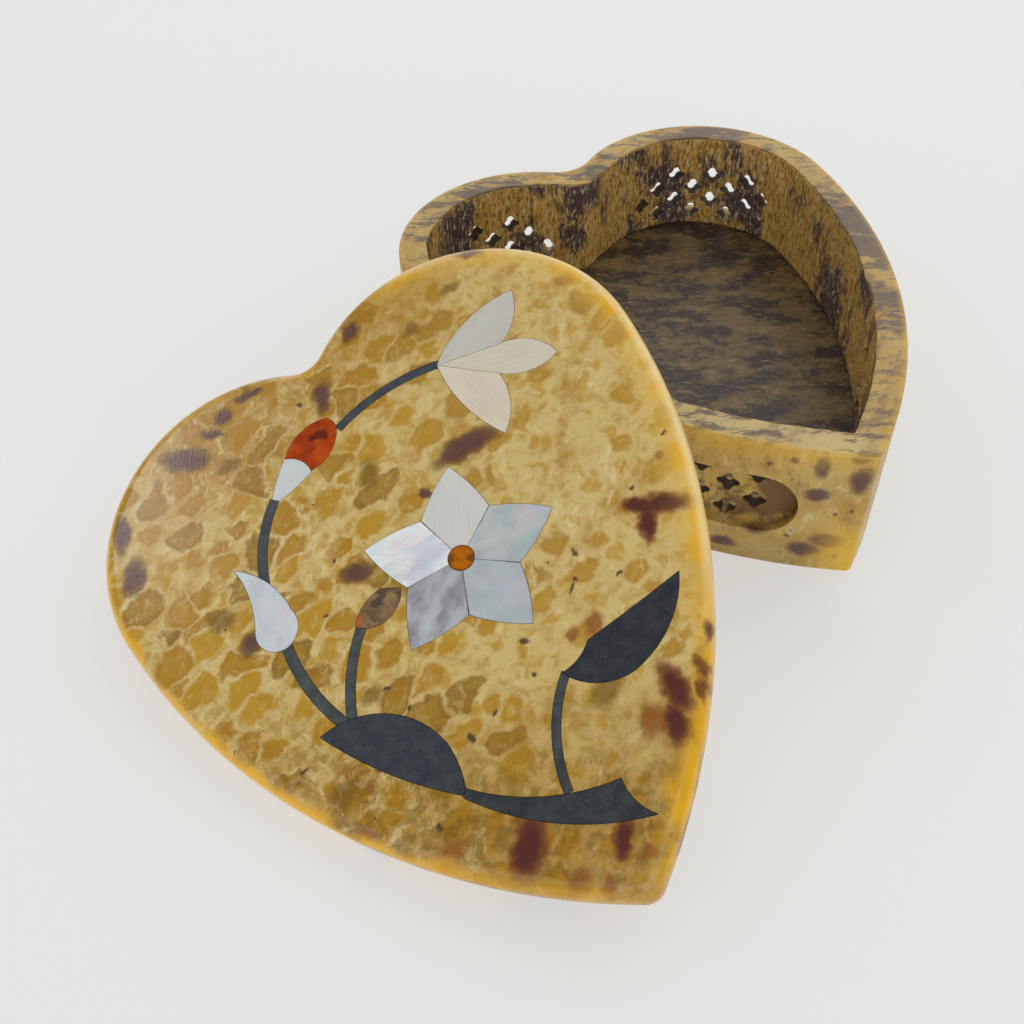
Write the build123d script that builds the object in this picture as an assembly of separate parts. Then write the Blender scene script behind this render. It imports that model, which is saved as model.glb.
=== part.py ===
from build123d import *
from math import acos, asin, atan2, cos, degrees, hypot, radians, sin, sqrt
import os

# A heart-shaped carved soapstone box with a loose lid that leans on its rim.
# The origin is the centre of the box's bottom face, the tip of the heart points along -Y.

os.makedirs("parts", exist_ok=True)

# box
box_width = 80.0
box_length = 91.5
box_height = 24.0
lobe_radius = 23.0
side_radius = 90.0
cleft_radius = 6.4
tip_radius = 1.2
wall = 4.7
floor_thickness = 5.5
ridge_wall = 5.8            # wall at the cleft, from the ridge inside to the notch outside
edge_softening = 0.5

# pierced windows in the wall
window_height = 11.0
window_middle = 12.2        # height of a window's centre line
window_sinking = 2.0        # depth of the recess on the outside
row_spacing = 2.6
rows = 4
hole_pitch = 8.6            # along the outside of the wall
hole_span = 3.5             # tip to tip of a four-leaved hole
hole_heart = 2.5            # diameter of its round middle
leaf_width = 1.3
hole_margin = 0.3           # from a hole to the edge of its window
hole_runout = 2.0           # how far a hole's cutter starts inside the cavity
window_clearance = 2.0      # how far a window's cutter stands out of the wall
lobe_window_length = 40.0
cleft_window_length = 27.0
side_window_length = 30.0
right_lobe_heading = 50.0   # degrees round from +X
left_lobe_heading = 98.0    # degrees round from -X
left_lobe_shift = 2.2       # its pattern is this much nearer the cleft
side_window_from_tip = 9.5

# lid
lid_overhang = 2.3
lid_thickness = 5.5
lid_top_rounding = 2.4
lid_bottom_rounding = 2.0
lid_tip_radius = 2.8
boss_depth = 3.2            # the boss hangs in the cavity when the lid is on
boss_clearance = 1.2
boss_softening = 1.0

# inlay
inlay_thickness = 1.6
glue_gap = 0.08
flower_centre = (3.3, 1.6)
flower_eye = 3.6
petals = 5
first_petal = 66.5          # heading of the first petal
petal_length = 13.8
petal_shoulder = 6.6        # from the centre, along the petal, to its widest place
petal_split = 0.6           # degrees of stone left beside a petal
petal_bow = 10.4            # where the bowed sides are gauged
petal_bow_share = 0.57      # their width there, as a share of the widest

# the way the lid leans
lean_heading = 30.4         # the lid rises towards this heading
lid_spin = 2.2
lean_reach = 64.9           # level distance from the rim to the foot of the lid
lean_offset = 2.2           # sideways place of the lid's centre
rest_gap = 0.05             # between the lid and what it rests on


def polar(centre, radius, angle):
    return centre[0] + radius * cos(radians(angle)), centre[1] + radius * sin(radians(angle))


def heading(start, end):
    return degrees(atan2(end[1] - start[1], end[0] - start[0]))


# Corners and centres of the heart's outline, for its right half
lobe_centre = (box_width / 2 - lobe_radius, box_length / 2 - lobe_radius)
tip = (0, -box_length / 2)
tip_to_lobe = hypot(lobe_centre[0] - tip[0], lobe_centre[1] - tip[1])
inner_arm = side_radius - lobe_radius
# the side's arc passes through the tip and runs into the lobe without a corner
tip_cosine = (side_radius**2 + tip_to_lobe**2 - inner_arm**2) / (2 * side_radius * tip_to_lobe)
tip_corner = degrees(acos(tip_cosine))
side_centre = polar(tip, side_radius, heading(tip, lobe_centre) + tip_corner)
side_end = heading(side_centre, lobe_centre)
cleft_centre = (0, lobe_centre[1] + sqrt((lobe_radius + cleft_radius)**2 - lobe_centre[0]**2))
lobe_end = heading(lobe_centre, cleft_centre)
cleft_bottom = cleft_centre[1] - cleft_radius


def arc(centre, radius, start, end):
    return ThreePointArc(*[polar(centre, radius, angle) for angle in (start, (start + end) / 2, end)])


def side_foot(inset):
    """The heading, from the side's centre, at which the side meets the middle line."""
    return degrees(asin(-side_centre[0] / (side_radius - inset))) - 90


def mirrored_face(half):
    return make_face(Wire([*half, *[edge.mirror(Plane.YZ) for edge in half]]))


def heart_face(inset, corner):
    """The box's outline moved in by inset, with its tip rounded."""
    face = mirrored_face([
        arc(side_centre, side_radius - inset, side_foot(inset), side_end),
        arc(lobe_centre, lobe_radius - inset, side_end, lobe_end),
        arc(cleft_centre, cleft_radius + inset, lobe_end - 180, -90),
    ])
    return fillet(face.vertices().sort_by(Axis.Y)[0], corner)


def cavity_face(inset):
    """The inside of the wall, where two flat cuts meet in a ridge at the cleft."""
    radius = lobe_radius - wall - inset
    ridge = (0, cleft_bottom - ridge_wall - inset)
    reach = hypot(lobe_centre[0] - ridge[0], lobe_centre[1] - ridge[1])
    cut_end = heading(lobe_centre, ridge) - degrees(acos(radius / reach))
    return mirrored_face([
        arc(side_centre, side_radius - wall - inset, side_foot(wall + inset), side_end),
        arc(lobe_centre, radius, side_end, cut_end),
        Line(polar(lobe_centre, radius, cut_end), ridge),
    ])


def window_cutter(centre, radius, middle, length, shift=0):
    """A sunk round-ended window and its staggered holes, in a wall that curves round centre."""
    floor = radius - window_sinking
    depth = window_sinking + window_clearance
    straight = length - window_height

    def facing(along, height, start):
        """The plane that looks out of the wall, at a place along it."""
        turn = middle + degrees(along / radius)
        out = polar((0, 0), 1, turn)
        place = (*polar(centre, start, turn), window_middle + height)
        return Plane(place, x_dir=(-out[1], out[0], 0), z_dir=(*out, 0))

    def ring(span):
        """The layer of stone above the window's floor, for a span of the wall."""
        sweep = degrees(span / radius)
        out = polar((0, 0), 1, middle - sweep / 2)
        place = (*polar(centre, floor + depth / 2, middle - sweep / 2), window_middle)
        section = Plane(place, x_dir=(*out, 0), z_dir=(out[1], -out[0], 0))
        return revolve(section * Rectangle(depth, window_height), Axis((*centre, 0), (0, 0, 1)), sweep)

    cutter = ring(straight)
    for end in (-straight / 2, straight / 2):
        rounded = extrude(facing(end, 0, floor - wall) * Circle(window_height / 2), radius)
        cutter += rounded & ring(length + window_height)
    leaves = [SlotOverall(hole_span, leaf_width, rotation=turn) for turn in (0, 90)]
    hole = Circle(hole_heart / 2) + leaves
    for row in range(rows):
        height = row_spacing * ((rows - 1) / 2 - row)
        end_reach = sqrt((window_height / 2)**2 - height**2)
        limit = straight / 2 + end_reach - hole_span / 2 - hole_margin
        count = int(length / hole_pitch) + 1
        places = [(number + row % 2 / 2) * hole_pitch + shift for number in range(-count, count)]
        for along in places:
            if abs(along) <= limit:
                cutter += extrude(facing(along, height, radius - wall - hole_runout) * hole, wall)
    return cutter


def make_box_body():
    block = extrude(heart_face(0, tip_radius), box_height)
    levels = block.faces().sort_by(Axis.Z)
    block = fillet(levels[0].edges() + levels[-1].edges(), edge_softening)
    cavity = extrude(Pos(0, 0, floor_thickness) * cavity_face(0), box_height)
    side_middle = side_foot(0) + degrees((side_window_from_tip + side_window_length / 2) / side_radius)
    side = window_cutter(side_centre, side_radius, side_middle, side_window_length)
    right_lobe = window_cutter(lobe_centre, lobe_radius, right_lobe_heading, lobe_window_length)
    left_lobe = window_cutter(
        lobe_centre, lobe_radius, left_lobe_heading, cleft_window_length, left_lobe_shift
    )
    return block - cavity - [side, side.mirror(Plane.YZ), right_lobe, left_lobe.mirror(Plane.YZ)]


def outline(start, *legs):
    """A closed face. A leg is the point where a line ends, or a point on an arc and the arc's end."""
    edges = []
    here = start
    for leg in [*legs, start]:
        if isinstance(leg[0], tuple):
            edges.append(ThreePointArc(here, *leg))
            here = leg[1]
        elif leg != here:
            edges.append(Line(here, leg))
            here = leg
    return make_face(Wire(edges))


def stem(start, through, end, width):
    """A band of one width along an arc."""
    path = ThreePointArc(start, through, end)

    def beside(where, shift):
        place = path.position_at(where)
        along = path.tangent_at(where)
        return place.X - along.Y * shift, place.Y + along.X * shift

    left = [beside(where, width / 2) for where in (0, 0.5, 1)]
    right = [beside(where, -width / 2) for where in (1, 0.5, 0)]
    return outline(left[0], (left[1], left[2]), right[0], (right[1], right[2]))


def petal(turn):
    """One flower petal: two straight sides along its neighbours, and two bowed ones to its tip."""
    half_share = 180 / petals
    side = petal_shoulder / cos(radians(half_share))
    shoulders = [polar((0, 0), side, angle) for angle in (half_share - petal_split, petal_split - half_share)]
    bows = [(petal_bow, shoulder[1] * petal_bow_share) for shoulder in shoulders]
    point = (petal_length, 0)
    shape = outline((0, 0), shoulders[1], (bows[1], point), (bows[0], shoulders[0]))
    return Rot(0, 0, turn) * shape


def inlay_shapes():
    """Every inlaid piece's outline on the lid, where a later piece stops at those before it."""
    shapes = {"flower_eye": Pos(*flower_centre) * Circle(flower_eye / 2)}
    for number in range(petals):
        turned = petal(first_petal - number * 360 / petals)
        shapes[f"flower_petal_{number + 1}"] = Pos(*flower_centre) * turned

    tulip = (15.8, 29.3)
    notch_top = (25.1, 26.3)
    notch_foot = (22.2, 22.4)
    shapes["tulip_petal_left"] = outline(
        tulip,
        ((22.0, 32.6), (31.0, 33.0)),
        ((28.7, 28.8), notch_top),
    )
    shapes["tulip_petal_middle"] = outline(
        tulip,
        notch_top,
        ((29.2, 23.6), (30.6, 19.9)),
        ((25.6, 20.0), notch_foot),
    )
    shapes["tulip_petal_right"] = outline(
        tulip,
        notch_foot,
        ((21.2, 17.6), (17.9, 13.7)),
        ((15.6, 21.0), tulip),
    )

    shapes["bud_calyx"] = outline(
        (-9.8, 30.4),
        ((-12.0, 28.5), (-14.2, 25.9)),
        (-13.5, 25.1),
        ((-10.6, 25.4), (-7.5, 26.2)),
        ((-7.9, 28.5), (-9.8, 30.4)),
    )
    shapes["carnelian_bud"] = outline(
        (-9.7, 30.4),
        ((-5.8, 32.8), (-1.6, 32.4)),
        ((-1.1, 31.0), (-1.5, 29.4)),
        ((-3.8, 27.1), (-7.4, 26.3)),
    )
    shapes["shell_leaf"] = outline(
        (-23.8, 19.6),
        ((-20.6, 15.1), (-19.6, 9.6)),
        ((-20.2, 6.4), (-22.6, 5.1)),
        ((-25.0, 6.3), (-25.4, 9.4)),
        ((-23.9, 13.6), (-23.8, 19.6)),
    )
    shapes["left_leaf"] = outline(
        (-24.4, -8.3),
        ((-13.7, -12.6), (-11.0, -18.6)),
        ((-11.1, -21.6), (-11.9, -24.7)),
        (-12.6, -25.3),
        ((-19.4, -17.2), (-24.4, -8.3)),
    )
    shapes["right_leaf"] = outline(
        (5.9, -19.6),
        ((8.6, -19.2), (10.8, -17.9)),
        ((17.2, -17.7), (25.2, -17.2)),
        ((20.0, -22.4), (13.6, -24.6)),
        ((9.0, -23.4), (6.3, -20.6)),
    )
    shapes["branch_foot"] = outline(
        (-11.9, -24.8),
        ((-4.3, -31.2), (4.5, -34.6)),
        ((4.4, -37.4), (5.7, -40.5)),
        ((-4.9, -34.5), (-12.7, -25.6)),
    )
    shapes["brown_stem_tip"] = outline(
        (-13.4, 1.9),
        ((-10.8, 4.0), (-8.0, 4.6)),
        (-5.6, 3.0),
        ((-8.4, 0.4), (-12.2, 0.8)),
    )

    stems = {
        "tulip_stem": ((-1.0, 29.7), (7.2, 30.8), (16.0, 29.3), 1.25),
        "calyx_stem": ((-14.0, 25.6), (-18.3, 20.9), (-21.0, 15.0), 1.4),
        "shell_leaf_stem": ((-22.5, 5.2), (-22.6, -1.6), (-20.6, -9.3), 1.5),
        "flower_stem": ((-19.9, -9.2), (-17.1, -3.6), (-12.6, 1.5), 1.35),
        "right_leaf_stem": ((6.2, -19.8), (1.3, -25.1), (-1.6, -32.4), 1.1),
    }
    for name, (start, through, end, width) in stems.items():
        shapes[name] = stem(start, through, end, width)
    return shapes


def make_lid():
    """The lid and its inlays, lying flat: the underside is at zero, and the locating boss hangs below it."""
    slab = extrude(heart_face(-lid_overhang, lid_tip_radius), lid_thickness)
    slab = fillet(slab.faces().sort_by(Axis.Z)[-1].edges(), lid_top_rounding)
    slab = fillet(slab.faces().sort_by(Axis.Z)[0].edges(), lid_bottom_rounding)
    boss = extrude(cavity_face(boss_clearance), -boss_depth)
    boss = chamfer(boss.faces().sort_by(Axis.Z)[0].edges(), boss_softening)
    pieces = {"lid_slab": slab + boss}

    pocket_floor = Pos(0, 0, lid_thickness - inlay_thickness)
    taken = None
    for name, shape in inlay_shapes().items():
        piece = shape - taken if taken else shape
        pieces[name] = extrude(pocket_floor * piece, inlay_thickness)
        pocket = offset(shape, glue_gap)
        taken = taken + pocket if taken else pocket
    pieces["lid_slab"] -= extrude(pocket_floor * taken, lid_thickness)
    return pieces


def leaning_place():
    """Where the flat lid goes so that its foot is on the floor and its boss on the rim."""
    foot_height = lid_bottom_rounding + rest_gap
    level = lean_reach + edge_softening
    rise = box_height - edge_softening - foot_height
    lift = lid_bottom_rounding + boss_depth + edge_softening + rest_gap
    lean = degrees(atan2(rise, level) + asin(lift / hypot(rise, level)))

    uphill = Vector(*polar((0, 0), 1, lean_heading))
    across = Vector(-uphill.Y, uphill.X)
    left_side_centre = (-side_centre[0], side_centre[1])
    rim = Vector(*polar(left_side_centre, side_radius, lean_heading + 180))
    foot_radius = side_radius + lid_overhang - lid_bottom_rounding
    foot = polar(left_side_centre, foot_radius, lean_heading - lid_spin + 180)
    turned = Location((0, 0, 0), (uphill.Y, -uphill.X, 0), lean) * Rot(0, 0, lid_spin)
    foot_place = (turned * Pos(*foot, lid_bottom_rounding)).position
    along = rim.dot(uphill) - lean_reach - foot_place.dot(uphill)
    centre = uphill * along + across * lean_offset
    return Pos(centre.X, centre.Y, foot_height - foot_place.Z) * turned


parts = {"box_body": make_box_body()}
lid = make_lid()
place = leaning_place()
# a boss that would reach below the floor rests on it instead, and lifts the lid
lowest = (place * lid["lid_slab"]).bounding_box().min.Z
if lowest < rest_gap:
    place = Pos(0, 0, rest_gap - lowest) * place
for name, piece in lid.items():
    parts[name] = place * piece

for name, piece in parts.items():
    export_step(piece, f"parts/{name}.step")
    print(f"{name}: {piece.volume:.1f} mm3, {len(piece.solids())} solid")
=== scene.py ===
import math

import bmesh
import bpy
from mathutils import Matrix, Vector, noise


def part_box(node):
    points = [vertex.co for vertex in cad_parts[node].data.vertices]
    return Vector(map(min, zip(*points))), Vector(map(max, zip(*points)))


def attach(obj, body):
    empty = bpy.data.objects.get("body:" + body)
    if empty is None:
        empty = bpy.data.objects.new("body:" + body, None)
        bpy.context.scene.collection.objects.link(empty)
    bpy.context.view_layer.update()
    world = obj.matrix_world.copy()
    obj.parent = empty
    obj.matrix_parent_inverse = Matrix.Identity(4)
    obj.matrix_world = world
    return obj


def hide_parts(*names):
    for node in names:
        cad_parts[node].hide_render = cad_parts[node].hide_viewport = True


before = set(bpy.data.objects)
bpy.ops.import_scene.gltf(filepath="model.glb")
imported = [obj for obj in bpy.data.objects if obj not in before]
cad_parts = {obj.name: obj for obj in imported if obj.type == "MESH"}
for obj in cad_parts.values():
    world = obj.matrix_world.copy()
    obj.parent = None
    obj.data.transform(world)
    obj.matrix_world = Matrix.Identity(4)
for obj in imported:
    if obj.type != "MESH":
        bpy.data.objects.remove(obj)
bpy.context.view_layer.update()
print("frame loaded")

perMetre = 1000  # patterns and places are in millimetres

# the heart's outline is a lobe's arc and a side's arc, mirrored
heart = {
    "lobeRadius": 23,
    "sideRadius": 90,
    "lidOverhang": 2.3,
    "wall": 4.7,
    "floor": 5.5,  # height of the cavity's floor
    "rim": 24,  # height of the box
}
lidSetting = {
    "node": "flower_eye",
    "eye": (3.3, 1.6),  # the eye's place on the lid's own axes
    "uphill": 28.2,  # degrees from the lid's own x to the way it rises
    "upperFace": 0.5,  # faces that look up more than this are on top
}


class Wire:
    # a socket that can be used in sums
    def __init__(self, finish, socket):
        self.finish = finish
        self.socket = socket

    def math(self, operation, *others):
        sockets = dict(enumerate([self, *others]))
        return self.finish.node("ShaderNodeMath", {"operation": operation}, sockets)

    def __add__(self, other):
        return self.math("ADD", other)

    def __sub__(self, other):
        return self.math("SUBTRACT", other)

    def __rsub__(self, other):
        return self.finish.node("ShaderNodeMath", {"operation": "SUBTRACT"}, {0: other, 1: self})

    def __mul__(self, other):
        return self.math("MULTIPLY", other)

    def __abs__(self):
        return self.math("ABSOLUTE")

    __radd__ = __add__
    __rmul__ = __mul__

    def smooth(self, low, high):
        # 0 at low, 1 at high
        sockets = {"Value": self, "From Min": low, "From Max": high}
        return self.finish.node("ShaderNodeMapRange", {"interpolation_type": "SMOOTHSTEP"}, sockets)

    def over(self, other):
        return self.math("MAXIMUM", other)

    def under(self, other):
        return self.math("MINIMUM", other)


class Finish:
    # a material, with the patterns that the stones and shells share
    def __init__(self, name, constants):
        self.material = bpy.data.materials.new(name)
        self.material.use_nodes = True
        self.tree = self.material.node_tree
        self.shader = self.tree.nodes["Principled BSDF"]
        for socket, value in constants.items():
            self.shader.inputs[socket].default_value = value

    def node(self, kind, settings, sockets, output=0):
        made = self.tree.nodes.new(kind)
        for name, value in settings.items():
            setattr(made, name, value)
        for name, value in sockets.items():
            if isinstance(value, Wire):
                self.tree.links.new(value.socket, made.inputs[name])
            else:
                made.inputs[name].default_value = value
        return Wire(self, made.outputs[output])

    def feed(self, socket, wire):
        self.tree.links.new(wire.socket, self.shader.inputs[socket])

    def worldPlace(self):
        place = self.node("ShaderNodeTexCoord", {}, {}, "Object")
        return self.node("ShaderNodeMapping", {}, {"Vector": place, "Scale": (perMetre,) * 3})

    def lidPlace(self):
        # millimetres on the lid's own axes, with 0 at the top face
        place = self.node("ShaderNodeTexCoord", {}, {}, "Object")
        sockets = {"Vector": place, "Location": lidShift, "Rotation": lidTurn, "Scale": (perMetre,) * 3}
        return self.node("ShaderNodeMapping", {}, sockets)

    def turned(self, place, turn=0, stretch=(1, 1, 1), at=(0, 0, 0)):
        # centred on a place, turned to a heading and stretched along it
        sockets = {"Vector": place, "Location": at, "Rotation": (0, 0, math.radians(turn)), "Scale": stretch}
        return self.node("ShaderNodeMapping", {"vector_type": "TEXTURE"}, sockets)

    def split(self, place):
        return [self.node("ShaderNodeSeparateXYZ", {}, {"Vector": place}, axis) for axis in "XYZ"]

    def length(self, place):
        return self.node("ShaderNodeVectorMath", {"operation": "LENGTH"}, {0: place}, "Value")

    def noise(self, place, scale, detail=3, roughness=0.55, output=0):
        sockets = {"Vector": place, "Scale": scale, "Detail": detail, "Roughness": roughness}
        return self.node("ShaderNodeTexNoise", {}, sockets, output)

    def warped(self, place, scale, amount, detail=2):
        # pushed about by noise, up to an amount in millimetres
        push = self.noise(place, scale, detail, output="Color")
        sockets = {0: push, 1: (amount,) * 3, 2: place}
        return self.node("ShaderNodeVectorMath", {"operation": "MULTIPLY_ADD"}, sockets)

    def frayed(self, place, scale, amount, detail):
        # warped, but not pushed to one side on the whole
        warped = self.warped(place, scale, amount, detail)
        sockets = {0: warped, 1: (amount / 2,) * 3}
        return self.node("ShaderNodeVectorMath", {"operation": "SUBTRACT"}, sockets)

    def cells(self, place, scale):
        # millimetres to a cell's edge and to its middle, and two numbers for each cell
        sockets = {"Vector": place, "Scale": scale}
        edge = self.node("ShaderNodeTexVoronoi", {"feature": "DISTANCE_TO_EDGE"}, sockets)
        near = self.node("ShaderNodeTexVoronoi", {"feature": "F1"}, sockets)
        colour = Wire(self, near.socket.node.outputs["Color"])
        numbers = [self.node("ShaderNodeSeparateColor", {}, {0: colour}, index) for index in (0, 1)]
        return edge * (1 / scale), near * (1 / scale), *numbers

    def specks(self, place, scale, size):
        # small dots, gathered here and there
        sockets = {"Vector": place, "Scale": scale}
        near = self.node("ShaderNodeTexVoronoi", {"feature": "F1"}, sockets, "Distance") * (1 / scale)
        chance = self.noise(place, scale / 3, 1)
        return near.smooth(size, size * 0.4) * chance.smooth(0.52, 0.6)

    def ovals(self, place, spots, softness):
        # each is a place, half sizes and a heading
        mask = None
        for at, size, turn in spots:
            near = self.length(self.turned(place, turn, size, at)).smooth(1 + softness, 1 - softness)
            mask = near if mask is None else mask.over(near)
        return mask

    def blots(self, place, spots, softness, depth):
        # spots in the lid's face: x, y, half length, half width and heading
        solid = [((x, y, 0), (length, width, depth), turn) for x, y, length, width, turn in spots]
        return self.ovals(place, solid, softness)

    def mix(self, factor, under, over):
        # sockets 6 and 7 hold the node's two colours, and output 2 is their mix
        sockets = {0: factor, 6: under, 7: over}
        return self.node("ShaderNodeMix", {"data_type": "RGBA"}, sockets, 2)

    def bump(self, height, distance, strength):
        sockets = {"Height": height, "Distance": distance / perMetre, "Strength": strength}
        self.feed("Normal", self.node("ShaderNodeBump", {}, sockets))

    def wear(self, piece):
        for slot in piece.material_slots:
            slot.material = self.material


def tone(red, green, blue):
    # screen values, 0 to 255, as a linear colour by the usual screen curve
    shares = [value / 255 for value in (red, green, blue)]
    return [share / 12.92 if share < 0.04045 else ((share + 0.055) / 1.055) ** 2.4 for share in shares] + [1]


def upperFace(node):
    # middle and direction of a piece's top face
    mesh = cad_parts[node].data
    faces = [face for face in mesh.polygons if face.normal.z > lidSetting["upperFace"]]
    area = sum(face.area for face in faces)
    centre = sum((face.center * face.area for face in faces), Vector()) / area
    normal = sum((face.normal * face.area for face in faces), Vector()).normalized()
    return centre, normal


def lidAxes():
    # the turn and shift that lay a place in the world on the lid's own axes
    centre, normal = upperFace(lidSetting["node"])
    uphill = (Vector((0, 0, 1)) - normal * normal.z).normalized()
    across = normal.cross(uphill)
    turn = math.radians(lidSetting["uphill"])
    along = uphill * math.cos(turn) - across * math.sin(turn)
    turned = Matrix((along, normal.cross(along), normal))
    eye = Vector((*lidSetting["eye"], 0))
    return turned.to_euler(), eye - turned @ centre * perMetre


lidTurn, lidShift = lidAxes()

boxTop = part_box("box_body")[1] * perMetre
lobeCentre = Vector((boxTop.x - heart["lobeRadius"], boxTop.y - heart["lobeRadius"]))


def sideCentre():
    # centre of the side's arc, which meets the tip and runs smoothly into the lobe's
    tip = Vector((0, -boxTop.y))
    toLobe = lobeCentre - tip
    radius = heart["sideRadius"]
    inner = radius - heart["lobeRadius"]
    corner = (radius ** 2 + toLobe.length ** 2 - inner ** 2) / (2 * radius * toLobe.length)
    heading = math.atan2(toLobe.y, toLobe.x) + math.acos(corner)
    return tip + radius * Vector((math.cos(heading), math.sin(heading)))


flankCentre = sideCentre()


def heartInset(finish, place, overhang=0):
    # millimetres in from the heart's outline
    x, y = finish.split(place)[:2]
    x = abs(x)
    beyond = (y - lobeCentre.y).over(0)
    outward = (x - lobeCentre.x).over(beyond * -1)
    fromLobe = (outward * outward + beyond * beyond).math("SQRT")
    sideX = x - flankCentre.x
    sideY = y - flankCentre.y
    fromSide = (sideX * sideX + sideY * sideY).math("SQRT")
    lobe = heart["lobeRadius"] + overhang - fromLobe
    flank = heart["sideRadius"] + overhang - fromSide
    return lobe.under(flank)


lidStone = {
    "cream": tone(198, 160, 72),
    "milk": tone(220, 194, 124),
    "amber": tone(176, 124, 0),
    "honey": tone(196, 146, 4),
    "olive": tone(124, 90, 4),
    "plum": tone(100, 62, 60),
    "maroon": tone(88, 34, 28),
    "rust": tone(150, 88, 30),
    "speck": tone(74, 50, 40),
    "vein": tone(236, 216, 156),
    # colours of the painted glow through the edge, the brightest also a painted highlight
    "paintedGlowGold": tone(240, 182, 0),
    "paintedGlowCream": tone(244, 200, 96),
    "paintedGlowHighlight": tone(255, 236, 176),
    "grain": 12,  # heading of the nodules' long way
    "cells": 0.235,  # large nodules in a millimetre
    "smallCells": 0.42,
    "loosen": (0.22, 3.4),  # how the pattern is bent: waves in a millimetre, and millimetres
    "crumple": (0.9, 0.9),
    "fray": (0.5, 2.4, 5),  # and how the stains' borders are
    # spots: x, y, half length, half width and heading
    "plumSpots": [
        (12.5, 15.5, 4.5, 1.7, -3),
        (-22.2, 40.1, 3.6, 1.7, -38),
        (-17, 41.3, 1.9, 0.7, -38),
        (-14.3, 42.7, 1.4, 1.1, 10),
        (-9.6, 43.6, 1.9, 0.8, -10),
        (-0.5, 35.9, 2.4, 1.2, 58),
        (8.3, 42.9, 1.6, 1.1, 50),
        (29.6, 42.8, 2.3, 0.9, -36),
        (-35.4, 35.2, 2.8, 1.2, 62),
        (-36.5, 28, 2.6, 1.7, 60),
        (-26.5, 8.5, 1.7, 1.2, 10),
        (-9.5, 8.7, 2, 1.2, -20),
        (4.2, 12.9, 0.9, 0.8, 0),
    ],
    "maroonSpots": [
        (20.3, -29, 1.7, 1, 70),
        (29.3, -8.4, 3.4, 1.4, -34),
        (26.4, -6.6, 2.4, 1.1, -42),
        (25.9, -9.2, 2.8, 1.2, 62),
        (16.2, -29.5, 3.6, 1.5, 84),
        (13.8, -33, 2.6, 1.6, 70),
        (18.9, -31.2, 1.9, 0.9, 56),
        (23.7, -25.5, 1.3, 0.8, 50),
        (-9.2, -35.1, 4.1, 1.9, 45),
        (0.8, -40.5, 2.4, 1.1, 45),
    ],
    "rustSpots": [
        (-3.6, -44.2, 1.8, 0.7, 60),
        (2.6, -43.6, 1.6, 0.7, -30),
        (-17.6, -30.7, 2.4, 1.5, 20),
        (12.6, -16.4, 1.5, 1.2, 40),
        (9.6, -16, 0.9, 0.8, 0),
        (-21.9, -17.7, 0.9, 0.7, 0),
        (-19.9, -16.4, 0.6, 0.5, 0),
        (-25, -22.4, 1.3, 0.5, -30),
        (32.7, -2.3, 0.8, 0.6, 0),
        (38, 29, 1.8, 1.1, -30),
        (39.5, 16.8, 1.9, 1.5, 60),
        (11.5, -31, 2, 1.6, 30),
        (-6.3, -41.8, 2.2, 1.3, 30),
    ],
    "oliveSpots": [
        (-17.2, 35, 1.7, 1.3, 0),
        (-28.5, 14.1, 2.2, 1.6, -30),
        (-25.1, -16.6, 2.2, 1.5, 0),
        (-16, -7.6, 1.6, 1.3, 0),
        (15.7, 37.2, 1.5, 1, 0),
        (24.2, 39.4, 1.6, 0.9, 0),
        (9, -24.5, 2.4, 1.7, 20),
        (-1, 20.5, 2.2, 1.5, 60),
    ],
    "darkSpots": [
        (35, 0, 0.5, 0.35, 0),
        (27, -4, 0.45, 0.3, 30),
        (16, -7, 0.5, 0.4, 60),
        (14, -10, 0.4, 0.3, 0),
        (13, -10.8, 0.6, 0.35, 50),
        (19, -13, 0.4, 0.3, 0),
        (-11, 12, 0.4, 0.3, 0),
        (-16, 6, 0.35, 0.3, 0),
        (4, -13, 0.8, 0.45, -60),
        (3, -18, 0.5, 0.35, 0),
        (-14, -8, 0.4, 0.3, 0),
        (-13, -12, 0.45, 0.35, 0),
        (-4, -19, 0.6, 0.3, 20),
        (-8, -20, 0.7, 0.5, 70),
        (-28, -11, 0.4, 0.3, 0),
        (-35, -3, 0.3, 0.25, 0),
        (-17, -27, 0.5, 0.3, 60),
        (-4, 37, 0.4, 0.3, 0),
    ],
}


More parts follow.
